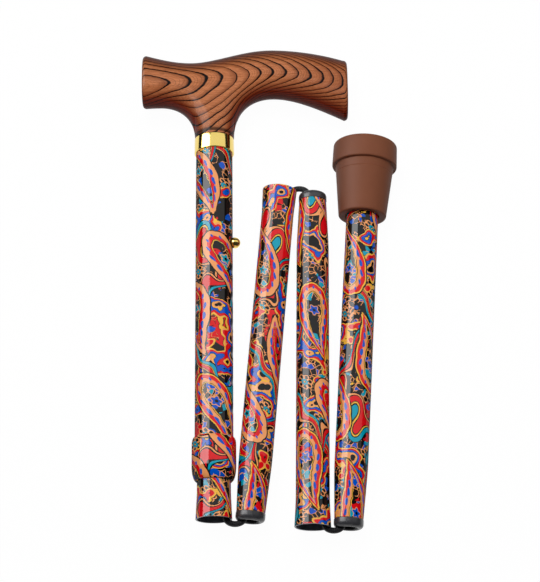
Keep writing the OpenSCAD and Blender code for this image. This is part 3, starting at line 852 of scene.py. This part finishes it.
def inner_tube_piece():
    """Printed tube with one hole for the button. Its radius rises in a straight line, after an eased bend,
    along the flare into its mouth."""
    line = Line("inner_tube", upper_way)
    hole = float((button_line.start - line.start) @ line.way)
    lip = line.length - np.array([0.15, 0.3]) * MM
    rows = np.unique(np.concatenate([rows_through(hole, line.length), lip]))
    radii = SECTION_R + (MOUTH_R - SECTION_R) * eased((rows - (line.length - FLARE_LEN)) / FLARE_LEN)
    return drilled_tube("printed_inner_tube", line, rows, radii, SECTION_WALL, [hole], INNER_PRINT)


def collar_piece():
    """Barrel round a stepped bore: its rims are quarter ellipses, the lower one drawn out."""
    line = Line("lock_collar", upper_way)
    outer, length = line.radius, line.length
    top_lip, chamber, low_lip = 11.3 * MM, 11.8 * MM, 9.83 * MM
    chamber_from, chamber_to = 4.45 * MM, length - 3 * MM
    top_roll, foot_roll = 3.8 * MM, 9 * MM
    turn = np.linspace(0, math.pi / 2, 12)

    def rim(lip, reach):
        """Quarter ellipse from the barrel in to a lip: distance from the rim, and radius."""
        least = lip + 0.1 * MM
        return reach * (1 - np.sin(turn)), least + (outer - least) * np.cos(turn)

    top = np.stack(rim(top_lip, top_roll), -1)
    foot = np.stack(rim(low_lip, foot_roll), -1) * [-1, 1] + [length, 0]
    middle = np.linspace(top[0, 0], foot[0, 0], 14)[1:-1]
    middle = np.stack([middle, outer + 0 * middle], -1)
    skin = np.concatenate([[(0, top_lip)], top[::-1], middle, foot, [(length, low_lip)]])
    bore_line = np.array([(chamber_to, low_lip), (chamber_to, chamber), (chamber_from, chamber),
                          (chamber_from, top_lip), (0, top_lip)])
    finish = [0] * (len(skin) - 1) + [1] * len(bore_line)
    return turned("printed_collar", line, np.concatenate([skin, bore_line]), 112, finish, COLLAR_PRINT)


def button_piece():
    """Ball on a shank, with a flange and a rivet end: an arc over a stepped line, turned round the button's
    own axis."""
    top = button_line.length
    ball, shank, flange, rivet = 3.3 * MM, 2.8 * MM, 3.8 * MM, 1.57 * MM
    flange_from, flange_to = 0.85 * MM, 1.7 * MM
    centre = top - ball
    meet = math.pi - math.asin(shank / ball)
    turn = np.linspace(meet, 0, 30)
    sphere = np.stack([centre + ball * np.cos(turn), ball * np.sin(turn)], -1)
    foot = np.array([(0, 0), (0, rivet), (flange_from, rivet), (flange_from, flange),
                     (flange_to, flange), (flange_to, shank)])
    return turned("gilt_button", button_line, np.concatenate([foot, sphere]), 64)


dress(ferrule_piece(), "handle", [gilt], "ferrule_ring")
dress(outer_tube_piece(), "handle", [film, bore], "outer_tube")
dress(inner_tube_piece(), "inner_tube", [film, bore], "inner_tube")
dress(collar_piece(), "lock_collar", [film, bore], "lock_collar")
dress(button_piece(), "snap_button", [gilt], "snap_button")


def leaf_spring():
    """The spring's own solid with its doubles merged, in spring steel. In the real cane its near arm goes
    with the button, its far arm stays with the tube, and the bend between them gives; here it is attached to
    neither."""
    mesh = frame["nodes"]["button_spring"].data.copy()
    mesh.materials.clear()
    mesh.materials.append(steel)
    tidy_mesh(mesh, recalculate=False)
    piece = link("leaf_spring", mesh)
    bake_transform(piece)
    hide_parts("button_spring")


leaf_spring()


# Lower sections

def section_piece(number, flared):
    """Tube whose radius rises in a straight line along the taper at its start and, if it has a mouth, along
    the flare at its end, with an eased bend between each of the two and the even stretch."""
    line = Line(f"section_{number}_tube", section_ways[number])
    length = line.length
    run = np.concatenate([np.linspace(0, TAPER_LEN + 6 * MM, 40),
                          np.linspace(TAPER_LEN + 7 * MM, length, 130)])
    radius = SECTION_R - (SECTION_R - MALE_R) * eased(1 - run / TAPER_LEN)
    if flared:
        radius = radius + (MOUTH_R - SECTION_R) * eased((run - (length - FLARE_LEN)) / FLARE_LEN)
    skin = np.stack([run, radius], -1)
    edge = 0.2 * MM
    lip = np.array([(length, radius[-1] - edge), (length, radius[-1] - SECTION_WALL + edge)])
    skin[-1, 0] -= edge
    wall = skin[::-1] - [0, SECTION_WALL]
    profile = np.concatenate([skin, lip, wall, skin[:1]])
    finish = [0] * (len(skin) - 1) + [1] * (len(profile) - len(skin))
    wrap_from = SECTION_PRINT + SECTION_PRINT_STEP * number
    return turned(f"printed_section_{number}", line, profile, TUBE_SIDES, finish, wrap_from)


def cap_piece(number):
    """Moulded cap: a rolled lip round the cord's bore, a fine step to the tube, and a plug inside."""
    line = Line(f"section_{number}_cap", section_ways[number])
    plug = MALE_R - SECTION_WALL - FIT_GAP
    inner_roll, outer_roll, step = 1.6 * MM, 2.6 * MM, 0.5 * MM
    bore_end = (line.length, CAP_BORE_R)
    lip = [(0, CAP_BORE_R, inner_roll), (0, CAP_R, outer_roll), (CAP_LEN, CAP_R, step)]
    profile = rounded([bore_end, *lip, (CAP_LEN, plug), (line.length, plug), bore_end], 10)
    return turned(f"moulded_cap_{number}", line, profile, 88)


for number in (2, 3, 4):
    section = f"section_{number}"
    dress(section_piece(number, number < 4), section, [film, bore], f"{section}_tube")
    dress(cap_piece(number), section, [nylon], f"{section}_cap")


def tip_piece():
    """Flower-pot tip: a tapering pot with an open socket, a broad flange, and ring treads in its foot."""
    line = Line("rubber_tip", section_ways[4])
    length, flange_r = line.length, line.radius
    flange_at = length - 14.2 * MM
    socket, depth = SECTION_R + FIT_GAP, 36 * MM
    pot_end, pot_top, foot = 14.15 * MM, 17.4 * MM, 19.2 * MM
    seam = flange_at - 5.2 * MM
    seam_r = pot_end + (pot_top - pot_end) * seam / flange_at
    fine = 0.1 * MM
    outside = [(depth, 0), (depth, socket), (0.6 * MM, socket, 0.5 * MM), (0, socket + 0.8 * MM, 0.4 * MM),
               (0, pot_end, 1.1 * MM), (seam - 0.25 * MM, seam_r, fine), (seam, seam_r - 0.12 * MM, fine),
               (seam + 0.25 * MM, seam_r + 0.05 * MM, fine), (flange_at - 0.1 * MM, pot_top, 0.5 * MM),
               (flange_at, flange_r, 1.1 * MM), (length, foot, 1.2 * MM)]
    half, deep, fillet = 0.8 * MM, 1.2 * MM, 0.2 * MM
    for share in (0.82, 0.6, 0.38):
        groove, base = share * foot, 0.7 * half
        outside += [(length, groove + half, fillet), (length - deep, groove + base, fillet),
                    (length - deep, groove - base, fillet), (length, groove - half, fillet)]
    outside += [(length, 0)]
    return turned("rubber_foot", line, rounded(outside, 7), 112)


dress(tip_piece(), "section_4", [rubber], "rubber_tip")


# Elastic cord

def cord_piece(name, path, radius):
    """Round cord: a circle carried along a level path, drawn to a point at each end. The wrap map holds
    the share of a turn and the metres run."""
    step = np.gradient(path, axis=0)
    step /= np.linalg.norm(step, axis=1)[:, None]
    side = np.stack([-step[:, 1], step[:, 0], 0 * step[:, 0]], -1)
    sides = 24
    angle = np.linspace(0, TURN, sides, endpoint=False)
    size = np.full(len(path), radius)
    size[[0, -1]] = 0
    centre = np.concatenate([path, np.full((len(path), 1), shaft.start[2])], 1)
    up = np.array([0, 0, 1.0])
    ring = np.cos(angle)[None, :, None] * side[:, None] + np.sin(angle)[None, :, None] * up
    spots = centre[:, None] + size[:, None, None] * ring
    share = np.linspace(0, 1, sides + 1)
    uv = np.stack(np.broadcast_arrays(share[None], run_along(path)[:, None]), -1)
    mesh = grid_mesh(name, spots, uv)
    tidy_mesh(mesh, crease=math.radians(60))
    return link(name, mesh)


def evened(points, pitch):
    """A path through points, in even steps with its kinks smoothed, and a hair longer at both ends."""
    path = np.concatenate([np.asarray(p, float).reshape(-1, 2) for p in points])
    count = max(int(run_along(path)[-1] / pitch), 8)
    path = even(path, np.linspace(0, 1, count))
    for _ in range(4):
        path[1:-1] = (path[:-2] + 2 * path[1:-1] + path[2:]) / 4
    hair = 1e-3
    head = path[:1] - (path[1:2] - path[:1]) * hair
    tail = path[-1:] + (path[-1:] - path[-2:-1]) * hair
    return np.concatenate([head, path, tail])


# Where the cord lies: how far its bows start inside the tubes, its room to what it lies along, its offset
# from the axis of a mouth and of a cap, and the length of its legs there
BEND_INSET = 2.2 * MM
GAP = 0.3 * MM
MOUTH_SIDE = SECTION_R - SECTION_WALL - CORD_R - GAP
BORE_SIDE = CAP_BORE_R - CORD_R - GAP
CAP_LEG = CAP_LEN + BEND_INSET
MOUTH_LEG = JOINT["seat_1"]["range_m"][1] + CAP_LEN / 2

# Height of a bow as a share of a half circle's
BOW_SHARE = 0.65


def cord_bow(fold):
    """Half an ellipse from a tube's mouth to the next section's cap, with a straight leg into each. Returns
    the ends of the two legs."""
    tube = Line("inner_tube", upper_way) if fold == 1 else Line(f"section_{fold}_tube", section_ways[fold])
    cap = Line(f"section_{fold + 1}_cap", section_ways[fold + 1])
    mouth, start = (tube.start + tube.length * tube.way)[:2], cap.start[:2]
    out = 1 if fold == 2 else -1
    level = out * max(out * mouth[1], out * start[1]) - out * BEND_INSET
    near = np.array([mouth[0] + MOUTH_SIDE, level])
    far = np.array([start[0] - BORE_SIDE, level])
    turn = np.linspace(math.pi, 0, 40)
    arch = np.stack([np.cos(turn), out * BOW_SHARE * np.sin(turn)], -1)
    bow = (near + far) / 2 + (far - near)[0] / 2 * arch
    deep, shallow = near - MOUTH_LEG * tube.way[:2], far + CAP_LEG * cap.way[:2]
    piece = cord_piece(f"cord_bow_{fold}", evened([deep, bow, shallow], 0.5 * MM), CORD_R)
    piece.data.materials.append(braid)

    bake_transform(piece)
    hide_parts(f"cord_bend_{fold}")
    return deep, shallow


def cord_run(number, points, body, solid):
    """The cord inside one section, through points."""
    piece = cord_piece(f"cord_run_{number}", evened(points, 2 * MM), CORD_R)
    dress(piece, body, [braid], solid)


legs = {fold: cord_bow(fold) for fold in (1, 2, 3)}
for number in (2, 3):
    spare = GAP * section_ways[number][:2]
    points = [legs[number - 1][1] + spare, legs[number][0] - spare]
    cord_run(number, points, f"section_{number}", f"section_{number}_cord")
crimp, plug = Line("upper_cord_crimp", upper_way), Line("upper_cord_plug", upper_way)
anchor = (plug.start + (plug.length + GAP) * plug.way)[:2]
cord_run(1, [crimp.start[:2], anchor, legs[1][0] - GAP * upper_way[:2]], "inner_tube", "upper_cord")
crimp, plug = Line("lower_cord_crimp", section_ways[4]), Line("lower_cord_plug", section_ways[4])
anchor = (plug.start - GAP * plug.way)[:2]
tail = (crimp.start + crimp.length * crimp.way)[:2]
cord_run(4, [legs[3][1] + GAP * section_ways[4][:2], anchor, tail], "section_4", "lower_cord")


# Carried-over solids inside the tubes

INSIDE = {"handle_spigot": alloy, "handle_screw": steel, "collet_bush": nylon, "tube_glide": nylon,
          "upper_cord_plug": nylon, "upper_cord_crimp": alloy,
          "lower_cord_plug": nylon, "lower_cord_crimp": alloy, "tip_washer": steel}
for solid, material in INSIDE.items():
    frame["nodes"][solid].data.materials.clear()
    frame["nodes"][solid].data.materials.append(material)


# Studio

FLOOR_REACH, WALL_HEIGHT = 20.0, 4.5
FLAG_FRONT, FLAG_BACK = -0.6, 0.5


def studio_floor():
    """Pale floor and low walls far off, which the camera and mirrors see as white; a faint shadow stays."""
    paper = bpy.data.materials.new("pale_floor")
    paper.use_nodes = True
    tree = paper.node_tree
    tree.nodes.clear()
    seen = node(tree, "ShaderNodeLightPath", None, None, "Is Camera Ray")
    for kind in ("Is Glossy Ray", "Is Transmission Ray"):
        seen = seen.most(node(tree, "ShaderNodeLightPath", None, None, kind))
    matt = node(tree, "ShaderNodeBsdfDiffuse", None, {"Color": (0.2, 0.2, 0.2, 1)})
    glow = node(tree, "ShaderNodeEmission", None, {"Color": (1, 1, 1, 1), "Strength": 1.1})
    both = node(tree, "ShaderNodeMixShader", None, {0: seen * 0.89, 1: matt, 2: glow})
    node(tree, "ShaderNodeOutputMaterial", None, {"Surface": both})
    reach = FLOOR_REACH
    corners = [(-reach, -reach), (reach, -reach), (reach, reach), (-reach, reach)]
    mesh = bpy.data.meshes.new("floor")
    mesh.from_pydata([(*corner, z) for z in (0, WALL_HEIGHT) for corner in corners], [],
                     [(0, 1, 2, 3), (1, 0, 4, 5), (2, 1, 5, 6), (3, 2, 6, 7), (0, 3, 7, 4)])
    mesh.materials.append(paper)
    link("floor", mesh)


def dark_flag(name, x, height):
    """Low black card that stands along the cane and shows only in its polish, as a dark line."""
    card = Finish(name, Base_Color=(0.01, 0.01, 0.01, 1), Roughness=1.0)
    corners = [(FLAG_FRONT, 0), (FLAG_BACK, 0), (FLAG_BACK, height), (FLAG_FRONT, height)]
    mesh = bpy.data.meshes.new(name)
    mesh.from_pydata([(x, *corner) for corner in corners], [], [(0, 1, 2, 3)])
    mesh.materials.append(card.material)
    flag = link(name, mesh)
    flag.visible_camera = flag.visible_diffuse = flag.visible_shadow = flag.visible_transmission = False


def softbox(name, bearing, distance, behind, wide, long, radiance, gleams=True, fills=True):
    """Rectangular lamp above the cane, whose long side runs along it: it faces down from a bearing off the
    vertical, with its middle set back towards the handle, and has the power that gives a radiance. gleams
    says whether it shows in polish, and fills whether it lights matt surfaces."""
    lamp = bpy.data.lights.new(name, "AREA")
    lamp.shape = "RECTANGLE"
    lamp.size, lamp.size_y = wide, long
    lamp.energy = radiance * math.pi * wide * long
    holder = bpy.data.objects.new(name, lamp)
    bpy.context.scene.collection.objects.link(holder)
    tilt = math.radians(bearing)
    holder.location = (distance * math.sin(tilt), behind, distance * math.cos(tilt))
    holder.rotation_euler = (0, tilt, 0)
    holder.visible_camera = False
    holder.visible_glossy, holder.visible_diffuse = gleams, fills


def studio_sky():
    """A nearly dark room."""
    sky = bpy.data.worlds.new("studio")
    sky.use_nodes = True
    sky.node_tree.nodes["Background"].inputs["Color"].default_value = (0.04, 0.04, 0.04, 1)
    bpy.context.scene.world = sky


studio_floor()
dark_flag("left_flag", x=-0.18, height=0.06)
dark_flag("right_flag", x=0.19, height=0.1)
softbox("left_softbox", bearing=-50, distance=1.0, behind=0.37, wide=0.87, long=0.66, radiance=7.0,
        fills=False)
softbox("key", bearing=-8, distance=1.2, behind=0.15, wide=0.4, long=0.6, radiance=13.0, gleams=False)
softbox("top_panel", bearing=21, distance=1.2, behind=0.6, wide=2.55, long=1.0, radiance=0.9)
studio_sky()


# Camera

IMAGE_WIDE = 540
FOCAL_PIXELS = 1533.6
SENSOR = 36.0
VIEW_AZIMUTH, VIEW_ELEVATION = math.radians(-0.668), math.radians(69.5)
VIEW_DISTANCE = 0.9
AIM = Vector(shaft.start) + Vector((32.77, -98.24, 0)) * MM


def photo_camera():
    """Camera at the photograph's angle: from a bearing and a height it looks at a point between the tubes."""
    lens = bpy.data.cameras.new("photo_camera")
    lens.sensor_fit = "HORIZONTAL"
    lens.sensor_width = SENSOR
    lens.lens = FOCAL_PIXELS / IMAGE_WIDE * SENSOR
    lens.clip_start, lens.clip_end = 0.01, 50
    camera = bpy.data.objects.new("photo_camera", lens)
    bpy.context.scene.collection.objects.link(camera)
    level, lift = math.cos(VIEW_ELEVATION), math.sin(VIEW_ELEVATION)
    back = Vector((math.sin(VIEW_AZIMUTH) * level, -math.cos(VIEW_AZIMUTH) * level, lift))
    camera.location = AIM + back * VIEW_DISTANCE
    camera.rotation_euler = (-back).to_track_quat("-Z", "Y").to_euler()
    bpy.context.scene.camera = camera


photo_camera()
bpy.context.scene.view_settings.view_transform = "Standard"
